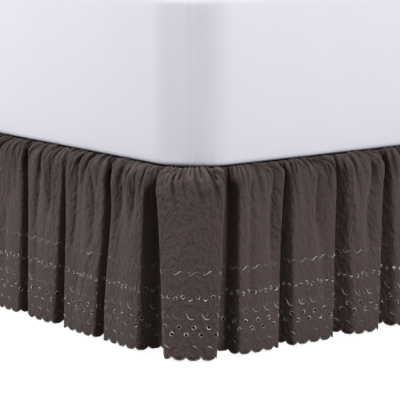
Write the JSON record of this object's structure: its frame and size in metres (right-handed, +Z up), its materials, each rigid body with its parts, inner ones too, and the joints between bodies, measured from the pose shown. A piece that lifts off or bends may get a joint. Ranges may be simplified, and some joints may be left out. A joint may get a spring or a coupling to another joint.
{
  "type": "ruffled bed skirt on a bed",
  "caption": "Gathered bed skirt with an eyelet border and scalloped hem, hanging from a platform sheet between the foundation and mattress of a plain bed on legs.",
  "frame": {"origin": "on the floor, under the middle of the whole object's outline", "axes": "+Z up, the head of the bed faces +Y and its foot -Y, +X is the bed's right side seen from the foot"},
  "size_m": [1.0914, 1.9578, 0.7458],
  "materials": {
    "ruffle_cloth": "dark warm grey cotton with grey stitched eyelets",
    "platform_cloth": "plain dark cotton",
    "mattress_sheet": "white cotton sheet",
    "foundation_cloth": "plain woven cover",
    "leg_wood": "satin stained wood"
  },
  "bodies": {
    "root": {"ruffle_left": "ruffle_cloth", "ruffle_foot": "ruffle_cloth", "ruffle_right": "ruffle_cloth", "platform": "platform_cloth", "mattress": "mattress_sheet", "foundation": "foundation_cloth", "leg_left_foot": "leg_wood", "leg_left_middle": "leg_wood", "leg_left_head": "leg_wood", "leg_right_foot": "leg_wood", "leg_right_middle": "leg_wood", "leg_right_head": "leg_wood"}
  },
  "joints": []
}
